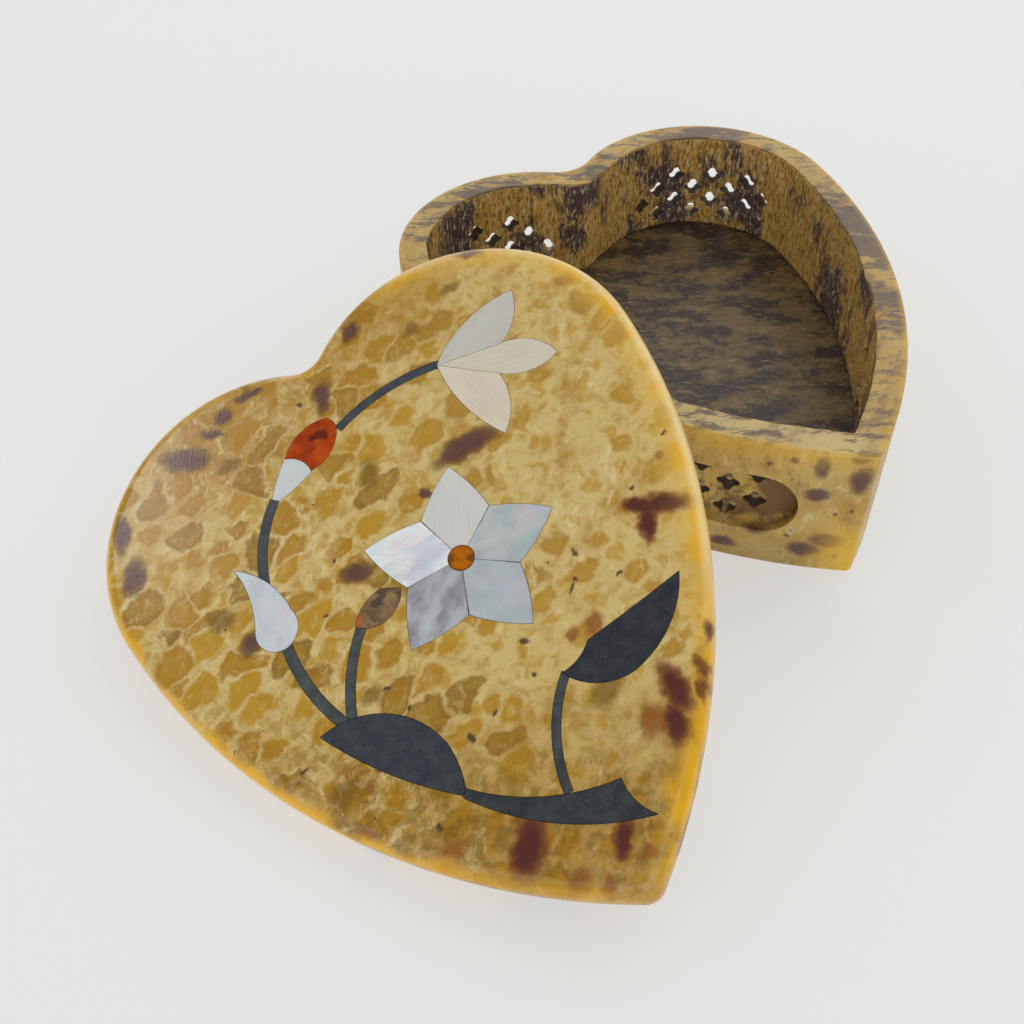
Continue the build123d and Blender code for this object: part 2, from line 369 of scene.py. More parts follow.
def lidStoneFinish():
    constants = {"IOR": 1.5, "Coat Weight": 0.15, "Coat Roughness": 0.08, "Subsurface Weight": 0.12,
                 "Subsurface Radius": (1, 0.6, 0.2), "Subsurface Scale": 0.0012}
    stone = Finish("lidStone", constants)
    place = stone.lidPlace()
    x, y, z = stone.split(place)
    inset = heartInset(stone, place, heart["lidOverhang"])
    loose = stone.warped(place, *lidStone["loosen"])
    crumpled = stone.warped(loose, *lidStone["crumple"])
    alongGrain = stone.turned(crumpled, lidStone["grain"], (1.35, 1, 1))

    # milky ground, which gets paler towards the right
    clouds = stone.noise(loose, 0.5, 5, 0.65)
    right = (x + y * -0.25 + stone.noise(place, 0.05, 2) * 26).smooth(2, 30)
    colour = stone.mix((clouds + right * 0.05).smooth(0.36, 0.6), lidStone["cream"], lidStone["milk"])

    # amber nodules, large and close on the left, small drops towards the right
    crowd = stone.noise(place, 0.09, 3).smooth(0.3, 0.7)
    edge, near, chance, tint = stone.cells(alongGrain, lidStone["cells"])
    size = 1 + chance * 1.9 + crowd * 0.7 - right * 0.85
    body = (size - near).under(edge - 0.06 - (1 - crowd) * 0.2)
    nodules = body.smooth(-0.2, 0.3 + right * 0.15)
    scattered = stone.turned(loose, 50, (1.3, 1, 1), (7, 4, 0))
    smallEdge, smallNear, smallChance = stone.cells(scattered, lidStone["smallCells"])[:3]
    pebbles = (smallChance * 1.15 - smallNear).under(smallEdge).smooth(-0.15, 0.3) * (1 - nodules)
    nuggets = stone.mix(tint.smooth(0.1, 0.9) * (1 - right * 0.5), lidStone["amber"], lidStone["honey"])
    nuggets = stone.mix(chance.smooth(0.7, 0.85) * (1 - right * 0.6) * 0.75, nuggets, lidStone["olive"])
    nuggets = stone.mix(body.smooth(0.2, 0.9) * 0.35, nuggets, lidStone["honey"])
    colour = stone.mix(pebbles * 0.6, colour, lidStone["honey"])
    colour = stone.mix(nodules * (0.9 - right * 0.15), colour, nuggets)

    # milk and amber drift over them, and the lower left is browner
    veil = stone.noise(stone.turned(loose, lidStone["grain"], (2.2, 1, 1)), 0.9, 5, 0.7)
    colour = stone.mix(veil.smooth(0.54, 0.78) * 0.6, colour, lidStone["milk"])
    drift = stone.noise(stone.turned(place, 50, (1.5, 1, 1), (3, 8, 0)), 0.16, 4, 0.6)
    colour = stone.mix(drift.smooth(0.5, 0.68) * (0.25 + right * 0.35), colour, lidStone["amber"])
    sheen = stone.noise(stone.turned(loose, 55, (2, 1, 1), (12, 3, 0)), 0.4, 5, 0.65)
    colour = stone.mix(sheen.smooth(0.56, 0.7) * (0.2 + right * 0.5), colour, lidStone["vein"])
    lower = (y * -1 + x * -0.6 + crowd * 8).smooth(19, 40) * (1 - veil.smooth(0.55, 0.75) * 0.8)
    dusk = stone.mix(clouds.smooth(0.4, 0.6), lidStone["olive"], lidStone["amber"])
    colour = stone.mix(lower * 0.7, colour, dusk)

    # the upper lobes are more amber, and bright threads run between the nodules
    upper = (y + x * -0.2 + stone.noise(place, 0.09, 2) * 16).smooth(34, 50)
    upper = upper * x.smooth(-38, -22)
    colour = stone.mix(upper * 0.6 * (1 - veil.smooth(0.56, 0.72) * 0.6), colour, lidStone["amber"])
    ridge = abs(stone.noise(stone.turned(loose, 62, (2.6, 1, 1)), 0.25, 4, 0.5) - 0.5)
    fine = abs(stone.noise(stone.turned(loose, 44, (1.8, 1, 1), (5, 8, 0)), 0.42, 4, 0.5) - 0.5)
    leftward = (x * -1 + y * 0.4).smooth(-6, 16)
    creases = ridge.smooth(0.024, 0.002).over(fine.smooth(0.02, 0.002) * 0.8) * (0.35 + leftward * 0.65)
    creases = creases.over(edge.smooth(0.16, 0.03) * leftward * 0.8)
    creases = creases * veil.smooth(0.4, 0.6) * (1 - nodules * 0.6)
    colour = stone.mix(creases * (0.6 - right * 0.3), colour, lidStone["vein"])

    # stains, the larger with a paler border, and dark specks
    ragged = stone.frayed(place, *lidStone["fray"])
    olive = stone.blots(ragged, lidStone["oliveSpots"], 0.5, 5)
    colour = stone.mix(olive * 0.75, colour, lidStone["olive"])
    rust = stone.blots(ragged, lidStone["rustSpots"], 0.45, 5)
    colour = stone.mix(rust * 0.85, colour, lidStone["rust"])
    plumHalo = stone.blots(ragged, lidStone["plumSpots"], 0.75, 5)
    colour = stone.mix(plumHalo.smooth(0, 0.6) * 0.7, colour, lidStone["olive"])
    colour = stone.mix(plumHalo.smooth(0.2, 0.95) * 0.92, colour, lidStone["plum"])
    maroon = stone.blots(ragged, lidStone["maroonSpots"], 0.75, 5)
    colour = stone.mix(maroon.smooth(0, 0.6) * 0.75, colour, lidStone["rust"])
    colour = stone.mix(maroon.smooth(0.2, 0.95) * 0.95, colour, lidStone["maroon"])
    dark = stone.blots(ragged, lidStone["darkSpots"], 0.45, 2)
    dark = dark.over(stone.specks(place, 0.35, 0.22))
    colour = stone.mix(dark * 0.9, colour, lidStone["speck"])

    # painted glow where the edge lets light through: a broad cream band on the upper right, deep yellow
    # elsewhere, and a painted highlight along the very edge on the upper right
    wander = stone.noise(place, 0.12, 3)
    flank = (x + y * -0.15).smooth(4, 14)
    clear = (1 - maroon * 0.85) * (1 - plumHalo * 0.85)
    high = (y + x * 0.2).smooth(-24, -6)
    # painted cream glow on the upper right
    paintedCreamGlow = (inset + wander * 5 - 2.5).smooth(6.5, 0.5) * flank * high
    colour = stone.mix(paintedCreamGlow * 0.6 * (1 - dark) * clear, colour, lidStone["paintedGlowCream"])
    # painted deep yellow glow along the rest of the edge
    paintedGlow = (inset + wander * 6 - 3).smooth(2.2, 0.5) * (1 - flank) * (0.45 + x.smooth(-8, -34) * 0.55)
    paintedGlow = paintedGlow.over(inset.smooth(4.6, 1) * wander.smooth(0.46, 0.58) * flank * 0.85)
    low = (inset + wander * 4 - 2).smooth(3, 0.6) * wander.smooth(0.3, 0.5)
    paintedGlow = paintedGlow.over(low * flank * (1 - high))
    colour = stone.mix(paintedGlow * clear, colour, lidStone["paintedGlowGold"])
    # painted highlight and glow along the very edge on the upper right
    colour = stone.mix(inset.smooth(1.5, 0.3) * flank * high * 0.6 * clear, colour, lidStone["paintedGlowHighlight"])

    # patches on the side and below
    below = z.smooth(-1.2, -3)
    patches = stone.noise(stone.turned(place, 20, (2, 1, 1)), 0.16, 4, 0.6).smooth(0.54, 0.62)
    colour = stone.mix(below * patches * 0.85, colour, lidStone["plum"])

    stone.feed("Base Color", colour)
    polish = stone.noise(place, 0.7, 4)
    stone.feed("Roughness", 0.13 + polish * 0.12 + below * 0.25)
    scratches = stone.noise(stone.turned(place, 62, (14, 1, 1)), 2.2, 3)
    stone.bump(stone.noise(crumpled, 0.8, 5) + scratches * 0.5 - dark * 0.8 + creases * 0.3, 0.06, 0.55)
    stone.wear(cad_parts["lid_slab"])


# streaks is the heading of a piece's layers; cloud and tint are how much it is shaded and coloured
shellPieces = {
    "flower_petal_1": {
        "tone": (226, 226, 218), "shade": (204, 206, 204),
        "streaks": 66, "cloud": 0.25, "tint": 0.15,
    },
    "flower_petal_2": {
        "tone": (202, 207, 206), "shade": (168, 176, 184),
        "streaks": -6, "cloud": 0.5, "tint": 0.5,
    },
    "flower_petal_3": {
        "tone": (194, 203, 207), "shade": (172, 180, 188),
        "streaks": -78, "cloud": 0.4, "tint": 0.3,
    },
    "flower_petal_4": {
        "tone": (192, 194, 200), "shade": (146, 146, 152),
        "streaks": 210, "cloud": 0.8, "tint": 0.3,
    },
    "flower_petal_5": {
        "tone": (255, 255, 255), "shade": (232, 240, 242),
        "streaks": 138, "cloud": 0.4, "tint": 0.8,
    },
    "shell_leaf": {
        "tone": (222, 228, 231), "shade": (184, 194, 200),
        "streaks": 80, "cloud": 0.4, "tint": 0.4,
    },
    "bud_calyx": {
        "tone": (222, 226, 226), "shade": (190, 198, 200),
        "streaks": 45, "cloud": 0.3, "tint": 0.3,
    },
    "tulip_petal_left": {
        "tone": (214, 210, 197), "shade": (196, 190, 181),
        "streaks": 20, "cloud": 0.3, "tint": 0.35,
    },
    "tulip_petal_middle": {
        "tone": (226, 218, 196), "shade": (212, 203, 180),
        "streaks": -28, "cloud": 0.2, "tint": 0.1,
    },
    "tulip_petal_right": {
        "tone": (234, 222, 198), "shade": (218, 199, 172),
        "streaks": -78, "cloud": 0.25, "tint": 0.1,
    },
}
lustre = {"pink": tone(232, 205, 214), "green": tone(196, 226, 214), "violet": tone(196, 198, 226)}
shellLines = tone(150, 150, 150)


def shellFinish(name, look):
    constants = {"IOR": 1.5, "Coat Weight": 0.3, "Coat Roughness": 0.06}
    shell = Finish(f"shell_{name}", constants)
    place = shell.lidPlace()
    loose = shell.warped(place, 0.35, 1.2)
    layers = shell.noise(shell.turned(loose, look["streaks"], (5, 1, 1)), 0.55, 4, 0.6)
    clouds = shell.noise(loose, 0.28, 3)
    shade = (layers * 0.55 + clouds * 0.6).smooth(0.45, 0.75) * look["cloud"] * 1.4
    colour = shell.mix(shade.under(1), tone(*look["tone"]), tone(*look["shade"]))
    for index, (tint, hue) in enumerate(lustre.items()):
        band = shell.noise(shell.turned(loose, look["streaks"] + 40, (3, 1, 1), (index * 7, 3, 0)), 0.3, 3)
        colour = shell.mix(band.smooth(0.54, 0.68) * look["tint"] * 0.6, colour, hue)
    fine = shell.noise(shell.turned(place, look["streaks"], (16, 1, 1)), 3, 3, 0.6)
    colour = shell.mix(fine.smooth(0.35, 0.7) * 0.12, colour, shellLines)
    shell.feed("Base Color", colour)
    shell.feed("Roughness", 0.18 + layers * 0.16)
    shell.bump(fine * 0.4 + clouds, 0.05, 0.4)
    shell.wear(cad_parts[name])


slatePieces = {
    "left_leaf": {"tone": (32, 38, 52), "dust": 0.25},
    "right_leaf": {"tone": (24, 28, 42), "dust": 0.15},
    "branch_foot": {"tone": (28, 34, 42), "dust": 0.25},
    "tulip_stem": {"tone": (44, 50, 58), "dust": 0.35},
    "calyx_stem": {"tone": (50, 55, 60), "dust": 0.4},
    "shell_leaf_stem": {"tone": (54, 58, 58), "dust": 0.4},
    "flower_stem": {"tone": (56, 60, 60), "dust": 0.4},
    "right_leaf_stem": {"tone": (44, 50, 54), "dust": 0.35},
}
slateTones = {"dust": tone(104, 112, 112), "pale": tone(140, 146, 146), "dark": tone(24, 27, 33)}


def slateFinish(name, look):
    slate = Finish(f"slate_{name}", {"IOR": 1.5})
    place = slate.lidPlace()
    clouds = slate.noise(place, 0.5, 5, 0.65)
    colour = slate.mix(clouds.smooth(0.3, 0.75) * look["dust"], tone(*look["tone"]), slateTones["dust"])
    grains = slate.noise(place, 5, 2)
    colour = slate.mix(grains.smooth(0.62, 0.72) * 0.3, colour, slateTones["pale"])
    colour = slate.mix(grains.smooth(0.4, 0.28) * 0.5, colour, slateTones["dark"])
    slate.feed("Base Color", colour)
    slate.feed("Roughness", 0.36 + clouds * 0.2)
    slate.bump(grains + clouds, 0.05, 0.4)
    slate.wear(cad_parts[name])


carnelian = {
    "deep": tone(158, 50, 0),
    "bright": tone(198, 80, 2),
    "blush": tone(170, 36, 20),
    "core": tone(92, 24, 10),
    "blushSpots": [(-8, 28.3, 1.2, 1.4, 0)],
    "coreSpots": [(-3.2, 31.6, 1.5, 0.6, -10), (-2.5, 31, 0.7, 0.9, 20)],
}


def carnelianFinish():
    gem = Finish("carnelian", {"IOR": 1.4, "Specular IOR Level": 0.35})
    place = gem.lidPlace()
    loose = gem.warped(place, 0.5, 1.6)
    glow = gem.noise(loose, 0.35, 4)
    colour = gem.mix(glow.smooth(0.35, 0.7), carnelian["deep"], carnelian["bright"])
    blush = gem.blots(loose, carnelian["blushSpots"], 0.5, 4)
    colour = gem.mix(blush * 0.6, colour, carnelian["blush"])
    core = gem.blots(loose, carnelian["coreSpots"], 0.45, 3)
    colour = gem.mix(core * 0.9, colour, carnelian["core"])
    gem.feed("Base Color", colour)
    gem.feed("Roughness", 0.14 + glow * 0.1)
    gem.bump(glow, 0.05, 0.4)
    gem.wear(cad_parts["carnelian_bud"])


amber = {
    "bright": tone(196, 114, 0),
    "deep": tone(180, 92, 2),
    "mark": tone(96, 62, 12),
    "edge": tone(120, 62, 10),
    "edgeBand": (1.35, 1.8),  # from the middle of the eye to its edge
    "marks": [(-1, 1, 0.5, 0.8, -50), (1.4, -0.6, 0.5, 0.8, 50)],  # from the middle of the eye
}


def amberFinish():
    gem = Finish("amber", {"IOR": 1.4, "Specular IOR Level": 0.35})
    place = gem.lidPlace()
    glow = gem.noise(place, 0.8, 4)
    colour = gem.mix(glow.smooth(0.35, 0.65), amber["bright"], amber["deep"])
    x, y = lidSetting["eye"]
    spots = [(x + right, y + up, *shape) for right, up, *shape in amber["marks"]]
    marks = gem.blots(gem.warped(place, 1.2, 0.5), spots, 0.5, 4)
    colour = gem.mix(marks * 0.75, colour, amber["mark"])
    away = gem.length(gem.turned(place, at=(x, y, 0)))
    colour = gem.mix(away.smooth(*amber["edgeBand"]) * 0.6, colour, amber["edge"])
    gem.feed("Base Color", colour)
    gem.feed("Roughness", 0.12 + glow * 0.1)
    gem.bump(glow, 0.05, 0.3)
    gem.wear(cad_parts["flower_eye"])


brownTip = {
    "dark": tone(96, 72, 42),
    "light": tone(160, 124, 84),
    "edge": tone(62, 50, 36),
    "flame": tone(190, 92, 30),
    "foot": tone(88, 58, 48),
    "flameSpots": [(-12.2, 2.6, 1.6, 0.5, 40)],
    "footSpots": [(-12.6, 1.4, 1.2, 0.8, 0)],
}


def brownTipFinish():
    stone = Finish("brownStone", {"IOR": 1.5, "Coat Weight": 0.2, "Coat Roughness": 0.15})
    place = stone.lidPlace()
    loose = stone.warped(place, 0.6, 1.4)
    clouds = stone.noise(loose, 0.6, 5, 0.65)
    colour = stone.mix(clouds.smooth(0.3, 0.65), brownTip["dark"], brownTip["light"])
    edge = stone.noise(loose, 0.35, 3).smooth(0.5, 0.62)
    colour = stone.mix(edge * 0.8, colour, brownTip["edge"])
    flame = stone.blots(loose, brownTip["flameSpots"], 0.5, 3)
    colour = stone.mix(flame * 0.8, colour, brownTip["flame"])
    foot = stone.blots(loose, brownTip["footSpots"], 0.5, 3)
    colour = stone.mix(foot * 0.7, colour, brownTip["foot"])
    stone.feed("Base Color", colour)
    stone.feed("Roughness", 0.25 + clouds * 0.15)
    stone.bump(clouds, 0.06, 0.5)
    stone.wear(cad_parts["brown_stem_tip"])


boxStone = {
    "ochre": tone(184, 148, 72),
    "straw": tone(198, 168, 92),
    "milk": tone(222, 208, 160),
    "amber": tone(186, 140, 30),
    "plum": tone(84, 50, 50),
    "night": tone(56, 43, 39),
    "moss": tone(118, 98, 60),
    # painted glow where thin stone lets light through
    "paintedGlow": tone(240, 190, 6),
    "bark": tone(204, 160, 76),
    "umber": tone(92, 72, 72),
    "speck": tone(58, 42, 36),
    # painted shade for the window recesses and their holes
    "shade": tone(92, 66, 38),
    "paintedHoleShade": tone(54, 36, 22),
    "dusk": tone(86, 66, 60),
    "bed": -30,  # heading of the stone's layers
    "loosen": (0.16, 4),  # how the pattern is bent: waves in a millimetre, and millimetres
    "fray": (0.6, 1.4, 4),  # and how the stains' borders are
    "windows": (6.2, 18.2),  # heights of their lower and upper edges
    "windowEdge": 0.7,
    # ovals: a place, half sizes and a heading
    "stains": [
        ((-6, -41.4, 21.2), (1.1, 1.1, 2.1), 0),
        ((-1.6, -44.8, 19.4), (1.6, 1.3, 2.6), 0),
        ((-5.9, -41.4, 15.7), (1.9, 1.6, 1.2), 0),
        ((-9, -38.9, 21.8), (0.7, 0.6, 0.7), 0),
        ((-11.8, -36.5, 7.8), (2.2, 2, 1.8), 0),
        ((-3.6, -43.2, 6.5), (2.8, 2, 1.5), 0),
        ((-6.2, -41.2, 4.2), (2.6, 2, 1.4), 0),
        ((-2, -44.2, 23.6), (1.7, 1.2, 1.2), 0),
        ((-15, -33.4, 3), (2.2, 1.6, 1), 0),
    ],
    "marks": [
        ((-3.6, -43.3, 12.3), (0.35, 0.35, 0.3), 0),
        ((-1.7, -44.6, 13.1), (0.3, 0.3, 0.4), 0),
        ((-2.4, -44.4, 3.2), (0.4, 0.4, 0.5), 0),
        ((-8.3, -39.6, 6.6), (0.3, 0.3, 0.3), 0),
        ((-11.6, -36.6, 20.4), (0.4, 0.4, 0.3), 0),
    ],
    # yellow places on the inner wall: the stone's colour, and painted light on the lit front end of the
    # right wall
    "goldenWallAndPaintedLight": [
        ((7, 33, 14), (8, 6, 12), 0),
        ((-9, 36, 18), (5, 5, 5), 0),
        ((26, -12, 14), (8, 6, 9), 0),
        ((18, -25, 17), (4, 8, 6), 0),
        ((12, 40, 21), (7, 3, 4), 0),
    ],
    "darkRim": [
        ((35, 2, 24), (9, 14, 4), 20),
        ((24, -18, 24), (7, 5, 4), 60),
        ((28, 41, 24), (9, 5, 4), -20),
        ((-16, 42, 24), (10, 4, 4), 0),
        ((4, 39.5, 24), (4, 4, 4), 0),
    ],
}


def boxStoneFinish():
    stone = Finish("boxStone", {"IOR": 1.5, "Subsurface Weight": 0.08, "Subsurface Radius": (1, 0.6, 0.2),
                                "Subsurface Scale": 0.001})
    place = stone.worldPlace()
    x, y, z = stone.split(place)
    inset = heartInset(stone, place)
    loose = stone.warped(place, *boxStone["loosen"])
    layered = stone.turned(loose, boxStone["bed"], (5, 1.1, 0.9))
    upright = stone.turned(place, 0, (1, 1, 9))

    # outside: straw and ochre clouds, with plum stains
    clouds = stone.noise(loose, 0.16, 5, 0.6)
    colour = stone.mix(clouds.smooth(0.36, 0.64), boxStone["ochre"], boxStone["straw"])
    ambers = stone.noise(stone.turned(loose, 0, (1, 1, 1.5), (20, 0, 8)), 0.14, 4).smooth(0.52, 0.66)
    colour = stone.mix(ambers * 0.45, colour, boxStone["amber"])
    stains = stone.noise(stone.turned(loose, 0, (1, 1, 1.4), (0, 40, 3)), 0.17, 3, 0.5).smooth(0.6, 0.67)
    frayed = stone.frayed(place, *boxStone["fray"])
    away = (y * -1 + x * -0.3).smooth(38, 30)
    stains = (stains * away).over(stone.ovals(frayed, boxStone["stains"], 0.4))
    veins = stone.noise(stone.turned(loose, 0, (1, 1, 2)), 0.5, 5, 0.7)
    outside = stone.mix(veins.smooth(0.54, 0.68) * 0.5, colour, boxStone["milk"])
    outside = stone.mix(veins.smooth(0.48, 0.34) * 0.55, outside, boxStone["moss"])
    outside = stone.mix(z.smooth(9, 1) * 0.3, outside, boxStone["moss"])
    outside = stone.mix(stains * 0.92, outside, boxStone["plum"])

    # rim: the layers cut across it
    streaks = stone.noise(layered, 0.6, 5, 0.66)
    dusky = stone.ovals(loose, boxStone["darkRim"], 0.5)
    pale = x.smooth(4, -4) * y.smooth(6, -12)
    rim = stone.mix(pale * 0.3, colour, boxStone["milk"])
    rim = stone.mix(streaks.smooth(0.5, 0.4) * (1 - pale) * 0.5, rim, boxStone["amber"])
    blurred = stone.noise(stone.turned(loose, 20, (1.6, 1, 1), (9, 2, 0)), 0.3, 5, 0.65)
    rim = stone.mix((blurred + pale * 0.01 + dusky * 0.08).smooth(0.5, 0.62) * 0.5, rim, boxStone["dusk"])
    rimMarks = (streaks + dusky * 0.14).smooth(0.52, 0.62)
    rim = stone.mix(rimMarks * 0.8, rim, boxStone["dusk"])

    # floor: dark layers
    bands = stone.noise(stone.turned(loose, boxStone["bed"], (2.2, 1, 1), (3, 9, 0)), 0.24, 7, 0.7)
    silt = stone.noise(stone.turned(place, boxStone["bed"], (3, 1, 1)), 1.5, 5, 0.75)
    floor = stone.mix((bands + silt * 0.4 - 0.2).smooth(0.44, 0.54), boxStone["moss"], boxStone["night"])
    floor = stone.mix(silt.smooth(0.53, 0.68) * 0.5, floor, boxStone["straw"])
    floor = stone.mix(silt.smooth(0.48, 0.32) * 0.7, floor, boxStone["night"])

    # inner wall: bark and umber, with yellow patches, pale flecks that are painted glints, and dark flecks
    zones = stone.noise(stone.turned(loose, 0, (1, 1, 1.6), (9, 0, 0)), 0.1, 4, 0.6)
    grooves = stone.noise(upright, 1.5, 4, 0.65)
    chipsAndPaintedGlints = stone.noise(stone.turned(place, 0, (1, 1, 3)), 2.2, 4, 0.7)
    # yellow patches: partly the stone's colour, partly painted light where the right wall's front end is lit
    goldenAndPaintedLight = stone.ovals(loose, boxStone["goldenWallAndPaintedLight"], 0.5)
    zones = zones + grooves * 0.3 - 0.165 - goldenAndPaintedLight * 0.14
    wall = stone.mix(zones.smooth(0.43, 0.55), boxStone["bark"], boxStone["umber"])
    # painted glints: pale flecks
    wall = stone.mix(chipsAndPaintedGlints.smooth(0.55, 0.61) * 0.8, wall, boxStone["milk"])
    wall = stone.mix(chipsAndPaintedGlints.smooth(0.48, 0.38) * 0.75, wall, boxStone["night"])

    # the inside starts at the wall's thickness, or nearer the outline where the cleft is rounded
    cleft = abs(x).smooth(9, 6) * y.smooth(24, 27)
    inside = inset.smooth(heart["wall"] - 0.6, heart["wall"] - 0.4)
    inside = inside.over(cleft * inset.smooth(1.2, 1.8))

    # the windows get painted shade, darker with depth: the recess is mottled with straw and plum veins, and
    # the holes are nearly black
    low, high = boxStone["windows"]
    soft = boxStone["windowEdge"]
    windowed = z.smooth(low, low + soft) * z.smooth(high, high - soft) * (1 - inside)
    latticeMottlesAndPaintedShade = stone.mix(clouds.smooth(0.44, 0.56), boxStone["shade"], boxStone["straw"])
    latticeMottlesAndPaintedShade = stone.mix(veins.smooth(0.52, 0.62) * 0.6, latticeMottlesAndPaintedShade, boxStone["plum"])
    outside = stone.mix(windowed * inset.smooth(0.4, 1.6) * 0.8, outside, latticeMottlesAndPaintedShade)
    # painted shade deep in the holes
    outside = stone.mix(windowed * inset.smooth(2, 2.4) * 0.95, outside, boxStone["paintedHoleShade"])

    # each look in its place, and specks over all
    onFloor = z.smooth(heart["floor"] + 0.5, heart["floor"] + 0.1)
    onRim = z.smooth(heart["rim"] - 0.6, heart["rim"] - 0.15)
    colour = stone.mix(inside, outside, stone.mix(onFloor, wall, floor))
    colour = stone.mix(onRim, colour, rim)
    specks = stone.specks(place, 0.3, 0.28).over(stone.ovals(frayed, boxStone["marks"], 0.4))
    colour = stone.mix(specks * 0.85, colour, boxStone["speck"])

    # painted glow where the stone is thin and lets light through: at the tip low down, and along the outer
    # edge near the rim
    tip = (y * -1).smooth(41, 45.5) * z.smooth(15, 4)
    edge = inset.smooth(1.2, 0.2) * z.smooth(19, 24)
    colour = stone.mix(tip.over(edge * 0.5) * (1 - inside) * 0.7, colour, boxStone["paintedGlow"])

    stone.feed("Base Color", colour)
    rough = windowed * inset.smooth(1, 2)
    stone.feed("Roughness", 0.34 + clouds * 0.1 + inside * 0.12 + rough * 0.4)
    scratches = stone.noise(stone.turned(place, boxStone["bed"], (20, 1, 1)), 2.5, 3)
    carved = inside * (1 - onFloor) * (1 - onRim)
    heights = carved * grooves * 3 + stone.noise(place, 1.2, 5) * 0.6 + scratches * 0.25 - specks * 0.5
    stone.bump(heights, 0.22, 0.8)
    stone.wear(carvedBox)


carving = {
    "strip": 0.5,  # width of the strips that the inner wall is cut into
    "band": 1.9,  # and their height
    "near": 0.15,  # how near a face lies to the wall's true place
    "steep": 0.3,  # a wall's face looks up or down less than this
    "below": 0.3,  # a wall's face starts no further below the floor
    "merge": 1e-3,  # corners nearer than this are one
    "cutSlack": 1e-4,  # corners this near a cut lie on it
    "cuts": 0.17,  # depth of the upright tool marks
    "cutWidth": 1.1,  # of the order of one mark
    "cutLength": 7,
    "waves": 0.2,  # depth of the broad unevenness
    "waveCount": 0.3,  # in a millimetre
    "sharp": 32,  # edges that bend more than this stay crisp
    "cleftInset": 1.5,  # at the cleft, the inner wall is further in than this
    "cleftFacing": 0.1,  # and faces the tip at least this much
}


def outlineInset(point):
    # millimetres in from the heart's outline
    half = Vector((abs(point.x), point.y))
    fromSide = half - flankCentre
    outward = half - lobeCentre
    outward.y = max(outward.y, 0)
    outward.x = max(outward.x, -outward.y)
    return min(heart["lobeRadius"] - outward.length, heart["sideRadius"] - fromSide.length)


def isInnerWall(face):
    # upright, above the floor, and on the inside of the wall or of the cleft
    if abs(face.normal.z) > carving["steep"]:
        return False
    if min(vertex.co.z for vertex in face.verts) < heart["floor"] - carving["below"]:
        return False
    if all(outlineInset(vertex.co) > heart["wall"] - carving["near"] for vertex in face.verts):
        return True
    centre = face.calc_center_median()
    inCleft = abs(centre.x) < lobeCentre.x and centre.y > lobeCentre.y
    facesIn = face.normal.y < -carving["cleftFacing"]
    return inCleft and facesIn and outlineInset(centre) > carving["cleftInset"]


def cutDepth(place):
    # millimetres out from the plain wall
    width, length = carving["cutWidth"], carving["cutLength"]
    upright = Vector((place.x / width, place.y / width, place.z / length))
    waves = noise.noise(place * carving["waveCount"])
    return noise.noise(upright) * carving["cuts"] + waves * carving["waves"]


def markWall(mesh, wall):
    # the inner wall's faces are marked 1 to be cut across x, and 2 to be cut across y
    for face in mesh.faces:
        if isInnerWall(face):
            face[wall] = 1 if abs(face.normal.y) > abs(face.normal.x) else 2
    print("inner wall faces", sum(1 for face in mesh.faces if face[wall]))


def wallPlanes():
    # an axis and a level for each plane that the wall is cut at
    across = int(boxTop.y / carving["strip"])
    upwards = int((heart["rim"] - heart["floor"]) / carving["band"])
    planes = [(axis, number * carving["strip"]) for axis in (0, 1) for number in range(-across, across)]
    return planes + [(2, heart["floor"] + number * carving["band"]) for number in range(1, upwards + 1)]


def cutWall(mesh, wall, axis, level):
    # one cut, through the marked faces that cross its plane
    crossed = []
    for face in mesh.faces:
        if face[wall] and (axis == 2 or face[wall] == axis + 1):
            values = [vertex.co[axis] for vertex in face.verts]
            if min(values) < level - carving["merge"] and max(values) > level + carving["merge"]:
                crossed.append(face)
    if not crossed:
        return
    edges = {edge for face in crossed for edge in face.edges}
    corners = {vertex for face in crossed for vertex in face.verts}
    place, normal = Vector(), Vector()
    place[axis], normal[axis] = level, 1
    pieces = [*crossed, *edges, *corners]
    bmesh.ops.bisect_plane(mesh, geom=pieces, dist=carving["cutSlack"], plane_co=place, plane_no=normal)


def roughenWall(mesh, wall):
    # moves the corners in and out, and makes triangles of what is no longer flat
    walled = {vertex for face in mesh.faces if face[wall] for vertex in face.verts}
    for vertex in walled:
        out = sum((face.normal for face in vertex.link_faces if face[wall]), Vector())
        out.z = 0
        vertex.co += out.normalized() * cutDepth(vertex.co)
    bmesh.ops.triangulate(mesh, faces=[face for face in mesh.faces if len(face.verts) > 4])


def shadeSmooth(mesh):
    mesh.normal_update()
    for face in mesh.faces:
        face.smooth = True
    for edge in mesh.edges:
        if len(edge.link_faces) == 2 and edge.calc_face_angle() > math.radians(carving["sharp"]):
            edge.smooth = False


def carveBox():
    # the box again, with its inside cut by hand tools
    mesh = bmesh.new()
    mesh.from_mesh(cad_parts["box_body"].data)
    bmesh.ops.scale(mesh, vec=(perMetre,) * 3, verts=mesh.verts)
    bmesh.ops.remove_doubles(mesh, verts=mesh.verts, dist=carving["merge"])
    mesh.normal_update()
    wall = mesh.faces.layers.int.new("wall")
    markWall(mesh, wall)
    for axis, level in wallPlanes():
        cutWall(mesh, wall, axis, level)
    roughenWall(mesh, wall)
    shadeSmooth(mesh)
    bmesh.ops.scale(mesh, vec=(1 / perMetre,) * 3, verts=mesh.verts)
    carved = bpy.data.objects.new("carvedBox", bpy.data.meshes.new("carvedBox"))
    mesh.to_mesh(carved.data)
    print("carved box has", len(mesh.faces), "faces")
    mesh.free()
    bpy.context.collection.objects.link(carved)
    carved.data.materials.append(None)  # an empty slot for its finish
    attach(carved, "box")
    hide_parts("box_body")
    return carved


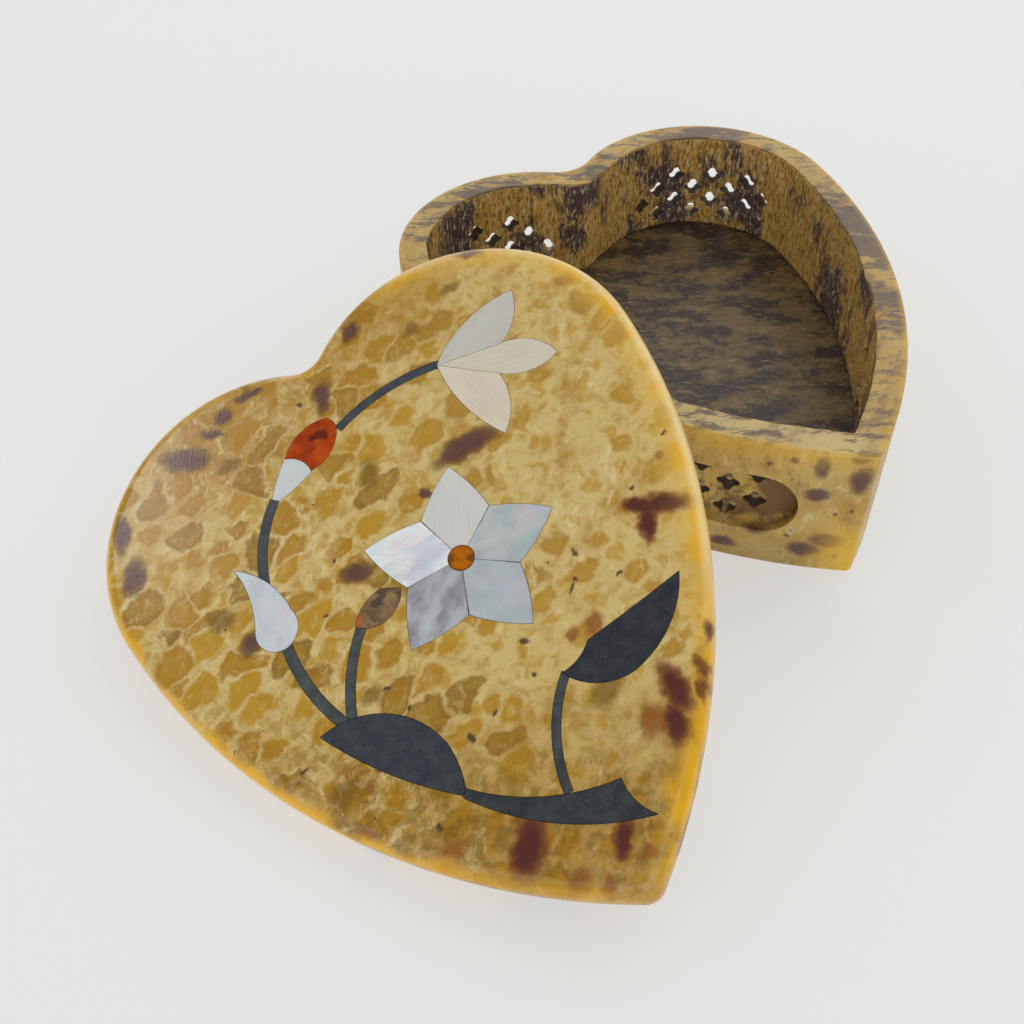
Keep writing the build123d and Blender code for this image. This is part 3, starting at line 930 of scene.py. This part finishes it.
carvedBox = carveBox()
lidStoneFinish()
for name, look in shellPieces.items():
    shellFinish(name, look)
for name, look in slatePieces.items():
    slateFinish(name, look)
carnelianFinish()
amberFinish()
brownTipFinish()
boxStoneFinish()
print("finishes made")


def aimed(thing, place, target, roll=0):
    # stands a camera or a lamp at a place, looking at a target
    back = (place - target).normalized()
    right = Vector((0, 0, 1)).cross(back).normalized()
    up = back.cross(right)
    turn = math.radians(roll)
    rolledRight = right * math.cos(turn) + up * math.sin(turn)
    rolledUp = up * math.cos(turn) - right * math.sin(turn)
    turned = Matrix((rolledRight, rolledUp, back)).transposed().to_4x4()
    thing.matrix_world = Matrix.Translation(place) @ turned


view = {
    "target": (-39.1, -10.3, 0),
    "heading": -26.49,  # degrees, as the camera goes round the box
    "height": 46.29,  # degrees above the floor
    "distance": 192.1,
    "roll": -1.33,  # degrees
    "lens": 42.29,
    "film": 36,
    "clip": 10,  # nothing nearer than this is seen
}


def makeCamera():
    camera = bpy.data.objects.new("camera", bpy.data.cameras.new("camera"))
    bpy.context.collection.objects.link(camera)
    camera.data.lens = view["lens"]
    camera.data.sensor_width = view["film"]
    camera.data.clip_start = view["clip"] / perMetre
    heading, height = math.radians(view["heading"]), math.radians(view["height"])
    level = math.cos(height)
    back = Vector((math.sin(heading) * level, -math.cos(heading) * level, math.sin(height)))
    target = Vector(view["target"])
    aimed(camera, (target + back * view["distance"]) / perMetre, target / perMetre, view["roll"])
    bpy.context.scene.camera = camera


paper = {
    "tone": tone(160, 160, 160),
    "glow": tone(255, 255, 252),
    "strength": 0.5,
    "halfSize": 2,  # metres
    "drop": 0.0001,  # metres below the box, so that the two don't fight
}
lampColour = (1, 0.99, 0.98)
sky = {"colour": (0.96, 0.98, 1, 1), "strength": 0.3}
lamps = {  # distance and size in metres, power in watts
    "window": {"towards": (-0.54, 0.5, 0.68), "distance": 0.75, "size": 0.2, "power": 0.4},
    "right": {"towards": (0.8, 0.1, 0.6), "distance": 1, "size": 1, "power": 3.4},
    "front": {"towards": (-0.15, -0.8, 0.6), "distance": 1, "size": 1, "power": 3.2},
    "back": {"towards": (0.35, 0.8, 0.55), "distance": 1, "size": 1, "power": 3},
    "left": {"towards": (-0.9, -0.25, 0.4), "distance": 1, "size": 0.8, "power": 1.6},
}


def makeFloor():
    mesh = bmesh.new()
    bmesh.ops.create_grid(mesh, x_segments=1, y_segments=1, size=paper["halfSize"])
    bmesh.ops.translate(mesh, vec=(0, 0, -paper["drop"]), verts=mesh.verts)
    floor = bpy.data.objects.new("floor", bpy.data.meshes.new("floor"))
    mesh.to_mesh(floor.data)
    mesh.free()
    bpy.context.collection.objects.link(floor)
    constants = {"Base Color": paper["tone"], "Roughness": 0.9, "Specular IOR Level": 0.2,
                 "Emission Color": paper["glow"], "Emission Strength": paper["strength"]}
    floor.data.materials.append(Finish("paper", constants).material)


def makeLight():
    target = Vector(view["target"]) / perMetre
    for name, lamp in lamps.items():
        light = bpy.data.lights.new(name, "AREA")
        light.size = lamp["size"]
        light.energy = lamp["power"]
        light.color = lampColour
        holder = bpy.data.objects.new(name, light)
        bpy.context.collection.objects.link(holder)
        aimed(holder, target + Vector(lamp["towards"]).normalized() * lamp["distance"], target)
    world = bpy.data.worlds.new("sky")
    world.use_nodes = True
    background = world.node_tree.nodes["Background"]
    background.inputs["Color"].default_value = sky["colour"]
    background.inputs["Strength"].default_value = sky["strength"]
    bpy.context.scene.world = world
    bpy.context.scene.view_settings.view_transform = "Standard"


makeCamera()
makeFloor()
makeLight()
print("camera and studio made")
